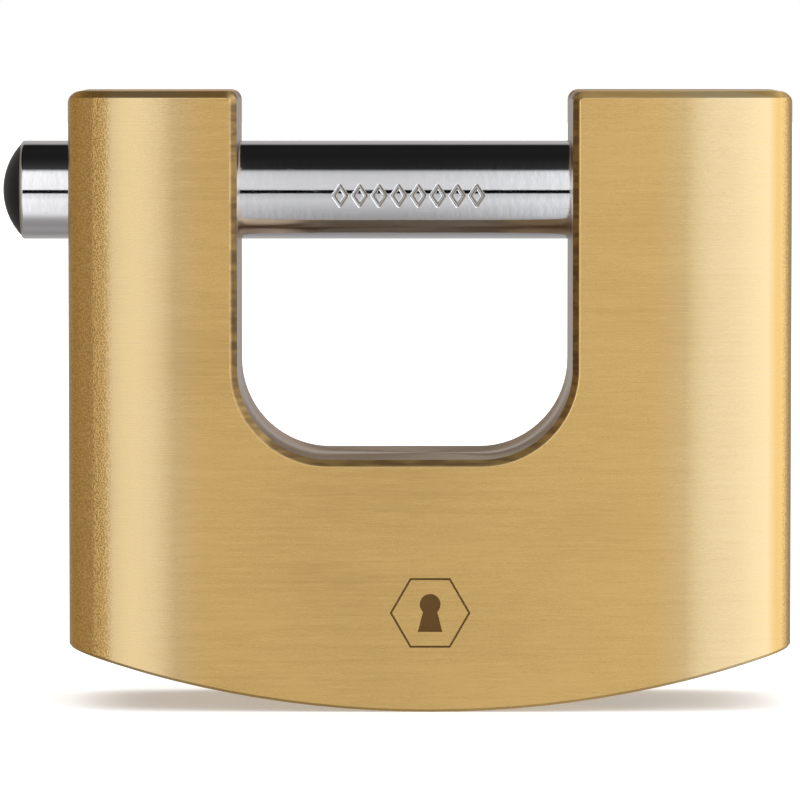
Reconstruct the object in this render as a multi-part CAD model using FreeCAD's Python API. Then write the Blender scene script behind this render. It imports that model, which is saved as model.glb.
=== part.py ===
# Shutter padlock: a solid brass block with a gap in its top edge, closed by a sliding hardened bolt.
#
# Row frame, in millimetres: X runs to the right along the bolt, Y runs from the front face to the
# rear face, Z is up. The origin is on the bolt's axis, half way across the gap and half way through
# the block. At rest the bolt is home and the cylinder is turned to its open place, half a turn from
# the place where the key goes in, so that the cam leaves the bolt free to slide.
import FreeCAD, Part
import math
import os

V = FreeCAD.Vector
X, Y, Z = V(1, 0, 0), V(0, 1, 0), V(0, 0, 1)

# ---- Block ------------------------------------------------------------------------------------
block_thickness = 24.0
left_leg = 18.75            # width of the leg that the bolt leaves through
gap_width = 37.0
throat = 24.0               # clear height from the bolt down to the gap's floor
top_cover = 5.6             # metal over the bolt
base_height = 27.9          # from the gap's floor to the lowest point of the block
gap_corner = 10.0
gap_lip = 1.2               # rounding where the gap's walls meet the top
outer_lip = 1.5             # rounding where the block's sides meet the top
bottom_radius = 118.0       # the curved underside
roll_width = 12.0           # the end stretch of each face, which curves away
roll_radius = 60.0
edge_radius = 3.5           # upright outer edges
edge_chamfer = 0.7          # round the top and the gap
foot_chamfer = 0.3          # round the underside

# ---- Bolt and its cap -------------------------------------------------------------------------
bolt_diameter = 11.0
bolt_stand_out = 5.6        # bolt outside the left leg, without its cap
bolt_nose = 4.8             # solid bolt beyond the cam's notch
bolt_nose_chamfer = 1.0
bolt_rim_radius = 0.4
bolt_end_gap = 0.5          # from the bolt's end to the end of its bore
cap_inset = 0.35            # the cap's rim lies this far inside the bolt's
cap_height = 2.05
cap_stem_diameter = 5.0
cap_stem_length = 6.0

# ---- Stamped row of lozenges on the bolt's front ----------------------------------------------
stamp_count = 8
stamp_pitch = 2.17
stamp_width = 1.75
stamp_height = 2.7
stamp_line = 0.3
stamp_depth = 0.2
stamp_drop = 0.55           # how far the row's middle is under the bolt's axis
stamp_shift = 0.4           # and to the right of the gap's middle

# ---- Guide pin, which keeps the bolt from turning and from coming right out --------------------
guide_pin_diameter = 2.4
guide_pin_setback = 4.25    # from the block's left side
groove_depth = 1.8
groove_play = 0.1           # each side of the pin
guide_pin_gap = 0.2         # from the pin's tip to the groove's floor

# ---- Cylinder: plug, cam and their bores ------------------------------------------------------
leg_inner_wall = 1.1        # from the gap's right wall to the plug's bore
plug_diameter = 12.7
plug_head_rim = 1.15        # how far the head stands out all round
plug_head_height = 1.6
plug_front_land = 3.3       # from the head to the first pin's axis
plug_rear_land = 5.3        # from the last pin's axis to the plug's inner end
spot_face_rim = 0.75        # how far the recess reaches past the head
spot_face_least_depth = 0.4
retainer_diameter = 1.6     # dowel that holds the plug in
retainer_groove_depth = 1.0
retainer_below_end = 2.2    # from the plug's inner end to the dowel's axis
keyway_width = 1.3
keyway_ward = 0.55          # how far the keyway's two halves stand apart
keyway_root_wall = 1.0      # plug left under the key's back
keyway_step = 1.2           # from the plug's axis to where the halves meet
cam_stem_diameter = 8.0
cam_flange_inset = 0.55     # the flange is this much smaller all round than the plug
cam_flange_height = 1.4
cam_tongue_width = 3.0
cam_tongue_inset = 2.05     # each end of the tongue is this far inside the plug's round
cam_tongue_height = 1.9
cam_flat_offset = 0.15      # from the stem's axis to the cam's flat
notch_ceiling = 1.8         # the cam notch reaches up to this far under the bolt's axis

# ---- Pin tumblers -----------------------------------------------------------------------------
pin_diameter = 2.9
pin_pitch = 3.8
key_pin_lengths = [4.9, 6.1, 5.3, 6.4, 5.6]
key_pin_tip = 0.8           # height of the conical tip
driver_length = 4.0
driver_waist = 0.35         # depth of the waist turned in each driver
driver_rim = 0.9            # full-width length at each end of a driver
chamber_past_axis = 0.6     # how far the plug's chambers are drilled past its axis
spring_length = 4.1
spring_wire = 0.3
spring_turns = 6
sealing_plug_length = 2.3

# ---- Emblem on the front: a keyhole in a six-sided line ----------------------------------------
emblem_width = 8.9
emblem_line = 0.22
emblem_depth = 0.15
emblem_below_gap = 16.9     # from the gap's floor to the emblem's middle
keyhole_radius = 1.15
keyhole_neck = 0.58
keyhole_foot = 1.35
keyhole_height = 4.2

# ---- Clearances -------------------------------------------------------------------------------
bolt_play = 0.06            # each is a radial clearance
plug_play = 0.05
head_play = 0.08
stem_play = 0.1
pin_play = 0.05
fixed_play = 0.02           # a pressed or glued seat
notch_play = 0.2            # round the cam in the bolt's notch
end_play = 0.1              # between end faces that turn or slide past each other

# ---- Places worked out from the sizes above ---------------------------------------------------
bolt_r = bolt_diameter / 2
plug_r = plug_diameter / 2
plug_bore_r = plug_r + plug_play
head_r = plug_r + plug_head_rim
spot_face_r = head_r + spot_face_rim
flange_r = plug_r - cam_flange_inset
tongue_half = plug_r - cam_tongue_inset
chamber_r = pin_diameter / 2 + pin_play
stem_r = cam_stem_diameter / 2
half_gap = gap_width / 2
half_thick = block_thickness / 2
top_z = bolt_r + top_cover
floor_z = -bolt_r - throat
low_z = floor_z - base_height

cylinder_x = half_gap + leg_inner_wall + plug_bore_r
left_x = -half_gap - left_leg
stack_start = plug_bore_r + fixed_play                      # from the cylinder's axis
spring_start = stack_start + driver_length
seal_start = spring_start + spring_length
right_x = cylinder_x + seal_start + sealing_plug_length
middle_x = (left_x + right_x) / 2
half_width = (right_x - left_x) / 2

notch_half = stem_r + notch_play
bolt_left = left_x - bolt_stand_out
bolt_right = cylinder_x + notch_half + bolt_nose
bolt_travel = bolt_right + half_gap                         # out until the gap is clear
guide_x = left_x + guide_pin_setback


def underside(x):
    """Height of the curved underside at x."""
    return low_z + bottom_radius - math.sqrt(bottom_radius**2 - (x - middle_x) ** 2)


face_z = underside(cylinder_x + spot_face_r) + spot_face_least_depth
head_top_z = face_z + plug_head_height
first_pin_z = head_top_z + plug_front_land
pin_heights = [first_pin_z + i * pin_pitch for i in range(len(key_pin_lengths))]
plug_top_z = pin_heights[-1] + plug_rear_land
retainer_z = plug_top_z - retainer_below_end
flange_top_z = plug_top_z + end_play + cam_flange_height
bore_top_z = flange_top_z + end_play
cam_top_z = -notch_ceiling - notch_play


# ---- Small helpers ----------------------------------------------------------------------------
def rod(radius, start, end):
    """Round bar between two points."""
    start, end = V(*start), V(*end)
    return Part.makeCylinder(radius, (end - start).Length, start, end - start)


def brick(low, high):
    """Box between its lowest and its highest corner."""
    low, high = V(*low), V(*high)
    size = high - low
    return Part.makeBox(size.x, size.y, size.z, low)


def prism(points, direction):
    """Straight-sided outline pushed along a direction."""
    return Part.Face(Part.makePolygon(points + points[:1])).extrude(direction)


def turned(profile, centre, axis):
    """Solid of revolution from (along, radius) points, along an axis that starts at centre."""
    across = Z if abs(axis.z) < 0.5 else X
    points = [centre + axis * along + across * radius for along, radius in profile]
    return Part.Face(Part.makePolygon(points + points[:1])).revolve(centre, axis, 360)


def arc(start, through, end):
    return Part.Arc(start, through, end).toShape()


def corner_arc(centre_x, centre_z, radius, from_degrees, to_degrees, y):
    """Arc in a plane of constant Y, seen from the front."""
    angles = [math.radians(a) for a in (from_degrees, (from_degrees + to_degrees) / 2, to_degrees)]
    return arc(*[V(centre_x + radius * math.cos(a), y, centre_z + radius * math.sin(a)) for a in angles])


def line(start, end):
    return Part.makeLine(start, end)


def half_turn(shape):
    """Turns a piece of the cylinder from its key-in place to its open place."""
    return shape.rotate(V(cylinder_x, 0, 0), Z, 180)


# ---- Block ------------------------------------------------------------------------------------
def plan_prism():
    """The block seen from above: flat faces that roll away to rounded upright edges."""
    drop = roll_radius - math.sqrt(roll_radius**2 - roll_width**2)
    flat = half_width - roll_width
    half_drop = roll_radius - math.sqrt(roll_radius**2 - (roll_width / 2) ** 2)

    def at(x, y):
        return V(middle_x + x, y, low_z - 1)

    edges = []
    for side in (-1, 1):
        y, mid_y, end_y = (side * (half_thick - d) for d in (0, half_drop, drop))
        left = arc(at(-half_width, end_y), at(-flat - roll_width / 2, mid_y), at(-flat, y))
        right = arc(at(flat, y), at(flat + roll_width / 2, mid_y), at(half_width, end_y))
        edges += [left, line(at(-flat, y), at(flat, y)), right]
    end_y = half_thick - drop
    edges += [line(at(s * half_width, -end_y), at(s * half_width, end_y)) for s in (-1, 1)]
    outline = Part.Wire(Part.__sortEdges__(edges))
    solid = Part.Face(outline).extrude(Z * (top_z - low_z + 2))
    upright = [
        e for e in solid.Edges
        if e.BoundBox.ZLength > 1 and abs(abs(e.CenterOfMass.x - middle_x) - half_width) < 1e-6
    ]
    return solid.makeFillet(edge_radius, upright)


def front_prism():
    """The block seen from the front: two legs, the gap between them and the curved underside."""
    y = -half_thick
    reach = half_width + 1
    xl, xr = middle_x - reach, middle_x + reach
    lip_x, lip_z = half_gap + gap_lip, top_z - gap_lip
    turn_x, turn_z = half_gap - gap_corner, floor_z + gap_corner
    edges = [
        line(V(xl, y, top_z), V(-lip_x, y, top_z)),
        corner_arc(-lip_x, lip_z, gap_lip, 90, 0, y),
        line(V(-half_gap, y, lip_z), V(-half_gap, y, turn_z)),
        corner_arc(-turn_x, turn_z, gap_corner, 180, 270, y),
        line(V(-turn_x, y, floor_z), V(turn_x, y, floor_z)),
        corner_arc(turn_x, turn_z, gap_corner, 270, 360, y),
        line(V(half_gap, y, turn_z), V(half_gap, y, lip_z)),
        corner_arc(lip_x, lip_z, gap_lip, 180, 90, y),
        line(V(lip_x, y, top_z), V(xr, y, top_z)),
        line(V(xr, y, top_z), V(xr, y, underside(xr))),
        arc(V(xr, y, underside(xr)), V(middle_x, y, low_z), V(xl, y, underside(xl))),
        line(V(xl, y, underside(xl)), V(xl, y, top_z)),
    ]
    return Part.Face(Part.Wire(edges)).extrude(Y * block_thickness)


def blank():
    """The block before it is drilled, with its edges broken."""
    solid = plan_prism().common(front_prism()).removeSplitter()
    lip_reach = half_gap + gap_lip + 1e-3
    rim = []
    for e in solid.Edges:
        box = e.BoundBox
        on_top = box.ZMin > top_z - 1e-6
        at_gap = max(abs(box.XMin), abs(box.XMax)) < lip_reach
        on_face = min(abs(box.YMin), abs(box.YMax)) > half_thick - 1e-6 and box.YLength < 1e-6
        if (on_top and not at_gap) or (on_face and at_gap):
            rim.append(e)
    solid = solid.makeChamfer(edge_chamfer, rim)
    sole = min(solid.Faces, key=lambda f: f.CenterOfMass.z)
    return solid.makeChamfer(foot_chamfer, sole.Edges).cut([corner_waste(s) for s in (-1, 1)])


def corner_waste(side):
    """What is taken off to round an outer top corner, on the left (-1) or the right (1)."""
    outer_x = middle_x + side * half_width
    axis_x, axis_z = outer_x - side * outer_lip, top_z - outer_lip
    low_x, high_x = sorted((outer_x + side, axis_x))
    square = brick((low_x, -half_thick, axis_z), (high_x, half_thick, top_z + 1))
    return square.cut(rod(outer_lip, (axis_x, -half_thick, axis_z), (axis_x, half_thick, axis_z)))


def emblem():
    """Six-sided line with a keyhole in it, to be cut into the front face."""
    middle = V(middle_x, -half_thick - 1, floor_z - emblem_below_gap)
    depth = Y * (1 + emblem_depth)

    def hexagon(across_corners):
        angles = [math.radians(60 * k) for k in range(6)]
        r = across_corners / 2
        return prism([middle + V(r * math.cos(a), 0, r * math.sin(a)) for a in angles], depth)

    ring = hexagon(emblem_width).cut(hexagon(emblem_width - 2 * emblem_line / math.cos(math.pi / 6)))
    eye_z = (keyhole_height - 2 * keyhole_radius) / 2
    eye = Part.makeCylinder(keyhole_radius, depth.Length, middle + Z * eye_z, Y)
    neck, foot_z = keyhole_neck, -keyhole_height / 2
    skirt = prism([middle + V(-neck, 0, eye_z), middle + V(neck, 0, eye_z),
                   middle + V(keyhole_foot, 0, foot_z), middle + V(-keyhole_foot, 0, foot_z)], depth)
    return [ring, eye.fuse(skirt)]


def body():
    reach = half_thick + 1
    cuts = [
        rod(bolt_r + bolt_play, (left_x - 1, 0, 0), (bolt_right + bolt_end_gap, 0, 0)),
        rod(guide_pin_diameter / 2, (guide_x, 0, 0), (guide_x, reach, 0)),
        rod(spot_face_r, (cylinder_x, 0, low_z - 1), (cylinder_x, 0, face_z)),
        rod(head_r + head_play, (cylinder_x, 0, face_z), (cylinder_x, 0, head_top_z)),
        rod(plug_bore_r, (cylinder_x, 0, face_z), (cylinder_x, 0, bore_top_z)),
        rod(stem_r + stem_play, (cylinder_x, 0, bore_top_z), (cylinder_x, 0, 0)),
        rod(retainer_diameter / 2, (cylinder_x, 0, retainer_z), (cylinder_x, reach, retainer_z)),
    ]
    cuts += [rod(chamber_r, (cylinder_x, 0, z), (right_x + 1, 0, z)) for z in pin_heights]
    return blank().cut(cuts + emblem())


# ---- Bolt, cap and guide pin ------------------------------------------------------------------
def stamped_row():
    """Outlined lozenges that follow the bolt's round front at an even depth."""
    skin = rod(bolt_r + 1, (bolt_left, 0, 0), (bolt_right, 0, 0))
    skin = skin.cut(rod(bolt_r - stamp_depth, (bolt_left, 0, 0), (bolt_right, 0, 0)))

    def lozenge(x, inset):
        w, h = stamp_width / 2 - inset, stamp_height / 2 - inset * stamp_height / stamp_width
        corners = [V(x - w, 0, 0), V(x, 0, h), V(x + w, 0, 0), V(x, 0, -h)]
        return prism([c + V(0, -bolt_r - 1, -stamp_drop) for c in corners], Y * bolt_r)

    rings = []
    for i in range(stamp_count):
        x = stamp_shift + (i - (stamp_count - 1) / 2) * stamp_pitch
        rings.append(lozenge(x, 0).cut(lozenge(x, stamp_line)).common(skin))
    return rings


def bolt():
    shank = rod(bolt_r, (bolt_left, 0, 0), (bolt_right, 0, 0))
    left_rim = [e for e in shank.Edges if abs(e.BoundBox.XMax - bolt_left) < 1e-6]
    shank = shank.makeFillet(bolt_rim_radius, left_rim)
    right_rim = [e for e in shank.Edges if abs(e.BoundBox.XMin - bolt_right) < 1e-6]
    shank = shank.makeChamfer(bolt_nose_chamfer, right_rim)

    half_groove = guide_pin_diameter / 2 + groove_play
    groove_y = bolt_r - groove_depth
    first, last = guide_x, guide_x + bolt_travel
    groove = brick((first, groove_y, -half_groove), (last, bolt_r + 1, half_groove))
    groove_ends = [rod(half_groove, (x, groove_y, 0), (x, bolt_r + 1, 0)) for x in (first, last)]

    notch = brick((cylinder_x - notch_half, -bolt_r - 1, -bolt_r - 1),
                  (cylinder_x + notch_half, bolt_r + 1, -notch_ceiling))
    way_out = brick((cylinder_x, cam_flat_offset - 2 * notch_play, -bolt_r - 1),
                    (bolt_right + 1, bolt_r + 1, -notch_ceiling))
    stem_hole = rod(cap_stem_diameter / 2 + fixed_play,
                    (bolt_left - 1, 0, 0), (bolt_left + cap_stem_length + end_play, 0, 0))
    return shank.cut([groove, notch, way_out, stem_hole] + groove_ends + stamped_row())


def bolt_cap():
    """Domed push cap with a stem that is pressed into the bolt's left end."""
    r = bolt_r - cap_inset
    ball_r = (r**2 + cap_height**2) / (2 * cap_height)
    ball = Part.makeSphere(ball_r, V(bolt_left - cap_height + ball_r, 0, 0))
    dome = ball.common(rod(r + 1, (bolt_left - cap_height - 1, 0, 0), (bolt_left, 0, 0)))
    stem = rod(cap_stem_diameter / 2, (bolt_left, 0, 0), (bolt_left + cap_stem_length, 0, 0))
    return dome.fuse(stem).removeSplitter()


def guide_pin():
    """Dowel from the rear of the left leg into the bolt's groove, ground flush with the block."""
    tip_y = bolt_r - groove_depth + guide_pin_gap
    pin = rod(guide_pin_diameter / 2, (guide_x, tip_y, 0), (guide_x, half_thick + 1, 0))
    return pin.common(plan_prism())


# ---- Cylinder ---------------------------------------------------------------------------------
def plug():
    """Core with a keyway, one chamber for each pin, a retaining groove and a slot for the cam."""
    core = rod(head_r, (cylinder_x, 0, face_z), (cylinder_x, 0, head_top_z))
    core = core.fuse(rod(plug_r, (cylinder_x, 0, face_z), (cylinder_x, 0, plug_top_z))).removeSplitter()

    half_ring = retainer_diameter / 2 + end_play
    ring = rod(plug_r + 1, (cylinder_x, 0, retainer_z - half_ring), (cylinder_x, 0, retainer_z + half_ring))
    ring = ring.cut(rod(plug_r - retainer_groove_depth, (cylinder_x, 0, face_z), (cylinder_x, 0, plug_top_z)))

    keyway_top = retainer_z - half_ring - end_play
    root_x = cylinder_x - plug_r + keyway_root_wall
    mid_x = cylinder_x - keyway_step
    crown_x = cylinder_x + plug_r - min(key_pin_lengths) + key_pin_tip
    step = keyway_ward / 2
    lower = brick((root_x, -keyway_width / 2 - step, face_z - 1),
                  (mid_x, keyway_width / 2 - step, keyway_top))
    upper = brick((mid_x - keyway_width, -keyway_width / 2 + step, face_z - 1),
                  (crown_x, keyway_width / 2 + step, keyway_top))
    inner_x, outer_x = cylinder_x - chamber_past_axis, cylinder_x + plug_r + 1
    chambers = [rod(chamber_r, (inner_x, 0, z), (outer_x, 0, z)) for z in pin_heights]
    slot_half_width = cam_tongue_width / 2 + end_play
    slot_half_length = tongue_half + end_play
    slot = brick((cylinder_x - slot_half_length, -slot_half_width, plug_top_z - cam_tongue_height - end_play),
                 (cylinder_x + slot_half_length, slot_half_width, plug_top_z + 1))
    return half_turn(core.cut([ring, lower, upper, slot] + chambers))


def cam():
    """Stem from the plug to the bolt, cut to a half-moon where it stands in the bolt's notch."""
    flange_z = plug_top_z + end_play
    stem = rod(stem_r, (cylinder_x, 0, flange_z), (cylinder_x, 0, cam_top_z))
    flange = rod(flange_r, (cylinder_x, 0, flange_z), (cylinder_x, 0, flange_top_z))
    tongue = brick((cylinder_x - tongue_half, -cam_tongue_width / 2, plug_top_z - cam_tongue_height),
                   (cylinder_x + tongue_half, cam_tongue_width / 2, flange_z))
    moon_cut = brick((cylinder_x - stem_r - 1, -cam_flat_offset, -bolt_r - end_play),
                     (cylinder_x + stem_r + 1, stem_r + 1, cam_top_z + 1))
    return half_turn(stem.fuse([flange, tongue]).removeSplitter().cut(moon_cut))


def plug_retainer():
    """Dowel from the rear of the block into the plug's groove, flush with the rear face."""
    tip_y = plug_r - retainer_groove_depth + end_play
    return rod(retainer_diameter / 2, (cylinder_x, tip_y, retainer_z), (cylinder_x, half_thick, retainer_z))


# ---- Pin tumblers, all lying along X ----------------------------------------------------------
def key_pin(z, length):
    """Pin with a cone for the key and an outer end that follows the plug's round."""
    r = pin_diameter / 2
    base = V(cylinder_x + plug_r + 1, 0, z)
    inner = length + 1
    pin = turned([(0, 0), (0, r), (inner - key_pin_tip, r), (inner, r - key_pin_tip), (inner, 0)], base, -X)
    envelope = rod(plug_r - fixed_play, (cylinder_x, 0, z - r - 1), (cylinder_x, 0, z + r + 1))
    return half_turn(pin.common(envelope))


def driver_pin(z):
    """Spool-shaped pin between the plug and its spring."""
    r, waist_r = pin_diameter / 2, pin_diameter / 2 - driver_waist
    start, end, rim = 0.0, driver_length - end_play, driver_rim
    profile = [(start, 0), (start, r), (rim, r), (rim + driver_waist, waist_r),
               (end - rim - driver_waist, waist_r), (end - rim, r), (end, r), (end, 0)]
    return turned(profile, V(cylinder_x + stack_start, 0, z), X)


def pin_spring(z):
    """Coil of round wire from the driver to the sealing plug."""
    coil_r = pin_diameter / 2 - spring_wire / 2 - pin_play
    height = spring_length - spring_wire - 2 * end_play
    helix = Part.makeHelix(height / spring_turns, height, coil_r)
    section = Part.Wire(Part.makeCircle(spring_wire / 2, V(coil_r, 0, 0), Y))
    coil = Part.Wire(helix.Edges).makePipeShell([section], True, True)
    coil.rotate(V(0, 0, 0), Y, 90)
    coil.translate(V(cylinder_x + spring_start + spring_wire / 2 + end_play, 0, z))
    return coil


def sealing_plug(z):
    """Brass plug that closes a pin chamber, flush with the block's right side."""
    return rod(chamber_r, (cylinder_x + seal_start, 0, z), (right_x, 0, z))


# ---- Writing the parts ------------------------------------------------------------------------
def all_parts():
    parts = {
        "body": body(),
        "bolt": bolt(),
        "bolt_cap": bolt_cap(),
        "guide_pin": guide_pin(),
        "plug": plug(),
        "cam": cam(),
        "plug_retainer": plug_retainer(),
    }
    for number, (z, length) in enumerate(zip(pin_heights, key_pin_lengths), start=1):
        parts[f"key_pin_{number}"] = key_pin(z, length)
        parts[f"driver_pin_{number}"] = driver_pin(z)
        parts[f"pin_spring_{number}"] = pin_spring(z)
        parts[f"sealing_plug_{number}"] = sealing_plug(z)
    return parts


def main():
    os.makedirs("parts", exist_ok=True)
    for name, shape in all_parts().items():
        shape = shape.Solids[0] if len(shape.Solids) == 1 else shape
        shape.exportStep(f"parts/{name}.step")
        print(f"{name:18s} solids {len(shape.Solids)}  valid {shape.isValid()}  volume {shape.Volume:10.2f}")
    print(f"block {right_x - left_x:.2f} x {block_thickness:.2f} x {top_z - low_z:.2f}")
    print(f"bolt travel {bolt_travel:.2f}, cylinder axis x {cylinder_x:.2f}, plug face z {face_z:.2f}")


main()
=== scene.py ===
import math

import bmesh
import bpy
from bpy.props import FloatProperty, FloatVectorProperty, IntProperty, PointerProperty
from mathutils import Matrix, Vector


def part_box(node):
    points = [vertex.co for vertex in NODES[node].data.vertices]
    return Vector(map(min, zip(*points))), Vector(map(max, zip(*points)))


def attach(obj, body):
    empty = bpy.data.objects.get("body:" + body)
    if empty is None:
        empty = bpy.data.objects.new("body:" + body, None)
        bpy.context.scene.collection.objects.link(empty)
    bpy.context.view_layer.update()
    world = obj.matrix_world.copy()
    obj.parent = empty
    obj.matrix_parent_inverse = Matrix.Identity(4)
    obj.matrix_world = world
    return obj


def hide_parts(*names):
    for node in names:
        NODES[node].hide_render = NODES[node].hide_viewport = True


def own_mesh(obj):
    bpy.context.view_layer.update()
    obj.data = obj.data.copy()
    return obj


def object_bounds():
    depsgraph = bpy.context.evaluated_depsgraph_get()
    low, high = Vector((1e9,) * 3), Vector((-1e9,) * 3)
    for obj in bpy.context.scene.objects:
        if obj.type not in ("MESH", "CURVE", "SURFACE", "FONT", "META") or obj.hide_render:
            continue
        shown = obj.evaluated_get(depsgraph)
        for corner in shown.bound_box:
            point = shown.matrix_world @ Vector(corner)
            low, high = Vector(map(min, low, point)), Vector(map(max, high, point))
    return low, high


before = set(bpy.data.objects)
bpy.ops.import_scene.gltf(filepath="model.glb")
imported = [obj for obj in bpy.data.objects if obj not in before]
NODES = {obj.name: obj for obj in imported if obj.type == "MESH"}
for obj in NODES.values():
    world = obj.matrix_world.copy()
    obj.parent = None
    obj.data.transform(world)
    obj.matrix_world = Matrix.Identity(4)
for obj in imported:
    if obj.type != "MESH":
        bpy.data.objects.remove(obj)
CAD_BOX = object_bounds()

bl_info = {
    "name": "Shutter padlock",
    "version": (1, 0, 0),
    "blender": (4, 5, 0),
    "location": "3D View > Sidebar > Padlock",
    "description": "Finishes the pieces of a brass shutter padlock and sets up a plain studio",
    "category": "Object",
}

MM = 0.001


def middle(node):
    """Centre of a CAD node's box."""
    low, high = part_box(node)
    return (low + high) / 2


def size(node):
    """Lengths of the sides of a CAD node's box."""
    low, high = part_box(node)
    return high - low


BLOCK_LOW, BLOCK_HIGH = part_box("body")
BOLT_LOW, BOLT_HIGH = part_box("bolt")
BOLT_RADIUS = (BOLT_HIGH.z - BOLT_LOW.z) / 2
CYLINDER_X = middle("plug").x
WALL_MARGIN = 0.01 * MM  # how far off the block's outline a corner of its outer wall may be
WALL_TURN = 12  # degrees by which a facet of that wall may turn from the wall's exact direction
BOLT_MARGIN = 0.002 * MM  # how far off the bolt's radius a corner of its round surface may be
BOLT_SLOPE = 0.02  # largest share of a facet's normal that may point along the bolt


# ---- Sizes and colours a user would change ------------------------------------------------------
def length(name, description, default_mm):
    """A size kept in metres, whose default is given in millimetres."""
    return FloatProperty(
        name=name, description=description, default=default_mm * MM, unit="LENGTH", precision=5)


def colour(name, description, default):
    """A colour as red, green and blue from 0 to 1."""
    return FloatVectorProperty(
        name=name, description=description, default=default, size=3, subtype="COLOR", min=0, max=1)


def angle(name, description, degrees):
    """An angle kept in radians, whose default is given in degrees."""
    return FloatProperty(
        name=name, description=description, default=math.radians(degrees), subtype="ANGLE")


def integer(name, description, default, least):
    """A whole number."""
    return IntProperty(name=name, description=description, default=default, min=least)


def share(name, description, default):
    """A number from 0 to 1."""
    return FloatProperty(
        name=name, description=description, default=default, min=0, max=1, subtype="FACTOR")


class PADLOCK_PG_block(bpy.types.PropertyGroup):
    brass: colour("Brass", "Colour of the brushed brass", (0.81, 0.538, 0.206))
    brass_deep: colour("Deep brass", "Colour between the brush lines", (0.675, 0.42, 0.138))
    grain: colour("Grain", "Colour of the grain along the upright edges", (0.40, 0.23, 0.075))
    # Painted highlight: paler, less yellow brass on the front where it curves away, standing for the bright
    # reflection bands there.
    polish: FloatVectorProperty(
        name="Polish", description="How much paler the brass is where the front curves away",
        default=(1.0, 1.165, 1.72), size=3, min=0, max=3)
    # Partly painted shade: the chamfer round the gap is darkened as a whole, with the cutter's chatter marks
    # in it.
    milled: colour("Milled", "Colour of the milled chamfer round the gap", (0.30, 0.19, 0.08))
    gap_wall: colour("Gap wall", "Colour of the gap's milled inside", (0.60, 0.46, 0.33))
    etched: colour("Etched", "Colour of the emblem's floor", (0.27, 0.155, 0.055))
    # Painted highlight: a light line along the edges of the chamfers, standing for those edges catching the
    # light.
    arris_glint: colour("Arris", "Colour of the worn edge of a chamfer", (0.95, 0.80, 0.52))
    roughness: share("Roughness", "Mean roughness of the brushed faces", 0.27)
    anisotropy: share("Brushing", "How much the brushing stretches reflections", 0.95)
    roll_width: length("Roll width", "Stretch at each end of the faces that curves away", 12.0)
    roll_radius: length("Roll radius", "Radius of that stretch", 60.0)
    edge_radius: length("Edge radius", "Radius of the upright outer edges", 3.5)
    grain_left: length("Left grain", "How far the sandy grain reaches in from the left side", 4.2)
    grain_right: length("Right grain", "How far the sandy grain reaches in from the right side", 1.1)
    # Where that painted highlight begins and where it is complete, measured in from a side.
    highlight_start: length("Polish start", "Distance from a side where the paler polish begins", 16.0)
    highlight_full: length("Polish full", "Distance from a side where the polish is complete", 8.5)
    chamfer: length("Chamfer", "Width of the chamfer round the gap and the top", 0.7)
    gap_width: length("Gap width", "Distance between the two legs", 37.0)
    gap_corner: length("Gap corner", "Radius of the gap's lower corners", 10.0)
    gap_floor: length("Gap floor", "Height of the gap's floor from the bolt's axis", -29.5)
    emblem_below_gap: length("Emblem", "Distance from the gap's floor down to the emblem", 16.9)
    emblem_reach: length("Emblem reach", "Radius of a circle round the emblem", 4.9)


class PADLOCK_PG_bolt(bpy.types.PropertyGroup):
    chrome: colour("Chrome", "Colour of the chromed steel", (0.80, 0.80, 0.82))
    # Painted shade: the darker colour put into the stamped lines and the bolt's other recesses.
    stamped: colour("Stamped", "Colour of the stamped lines' floor", (0.28, 0.27, 0.26))
    roughness: share("Roughness", "Mean roughness of the chrome", 0.06)
    rim: length("Rim", "Rounding of the bolt's left end", 0.4)
    nose: length("Nose", "Chamfer of the bolt's right end", 1.0)
    groove_half: length("Groove half width", "Half the width of the guide groove", 1.3)
    groove_depth: length("Groove depth", "Depth of the guide groove", 1.8)
    groove_start: length("Groove start", "Left end of the guide groove's floor", -33.0)
    groove_end: length("Groove end", "Right end of the guide groove's floor", 20.5)
    notch_half: length("Notch half width", "Half the width of the cam's notch", 4.2)
    notch_ceiling: length("Notch ceiling", "How far under the bolt's axis the notch stops", 1.8)
    way_out: length("Way out", "Where the channel behind the notch begins, front to rear", -0.25)
    stem_hole: length("Stem hole", "Radius of the hole for the cap's stem", 2.52)
    stem_hole_depth: length("Stem hole depth", "Depth of the hole for the cap's stem", 6.1)
    fine_steps: integer("Steps along", "Mesh steps along the stamped row", 210, 10)
    fine_turns: integer("Steps round", "Mesh steps round the stamped row", 52, 6)
    coarse_turns: integer("Plain steps", "Mesh steps round the rest of the bolt", 150, 12)
    stamp_count: integer("Lozenges", "How many lozenges are stamped", 8, 1)
    stamp_pitch: length("Lozenge pitch", "Distance from one lozenge to the next", 2.17)
    stamp_shift: length("Lozenge shift", "How far the row's middle is to the right of the gap's", 0.4)
    stamp_width: length("Lozenge width", "Width of one lozenge", 1.75)
    stamp_height: length("Lozenge height", "Height of one lozenge", 2.7)
    stamp_drop: length("Lozenge drop", "How far the row's middle is under the bolt's axis", 0.55)
    stamp_line: length("Lozenge line", "Half the width of the stamped line", 0.15)
    stamp_depth: length("Lozenge depth", "Depth of the stamped line", 0.17)


class PADLOCK_PG_small(bpy.types.PropertyGroup):
    nylon: colour("Nylon", "Colour of the end cap", (0.006, 0.006, 0.0065))
    rubbed: colour("Rubbed nylon", "Colour of the end cap where it is rubbed", (0.06, 0.06, 0.065))
    cap_stem: length("Cap stem", "Radius of the stem that holds the cap in the bolt", 2.5)
    steel: colour("Steel", "Colour of the pins and dowels", (0.56, 0.56, 0.57))
    plating: colour("Plating", "Colour of the plated cam", (0.62, 0.60, 0.52))
    turned_brass: colour("Turned brass", "Colour of the plug and small brass pieces", (0.80, 0.60, 0.29))
    wire: length("Spring wire", "Diameter of the springs' wire", 0.3)
    turns: integer("Spring turns", "Turns of each spring", 6, 2)
    driver_travel: length("Driver travel", "How far each driver can shorten its spring", 1.7)
    plug_rim: length("Plug rim", "Chamfer round each sealing plug", 0.08)


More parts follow.
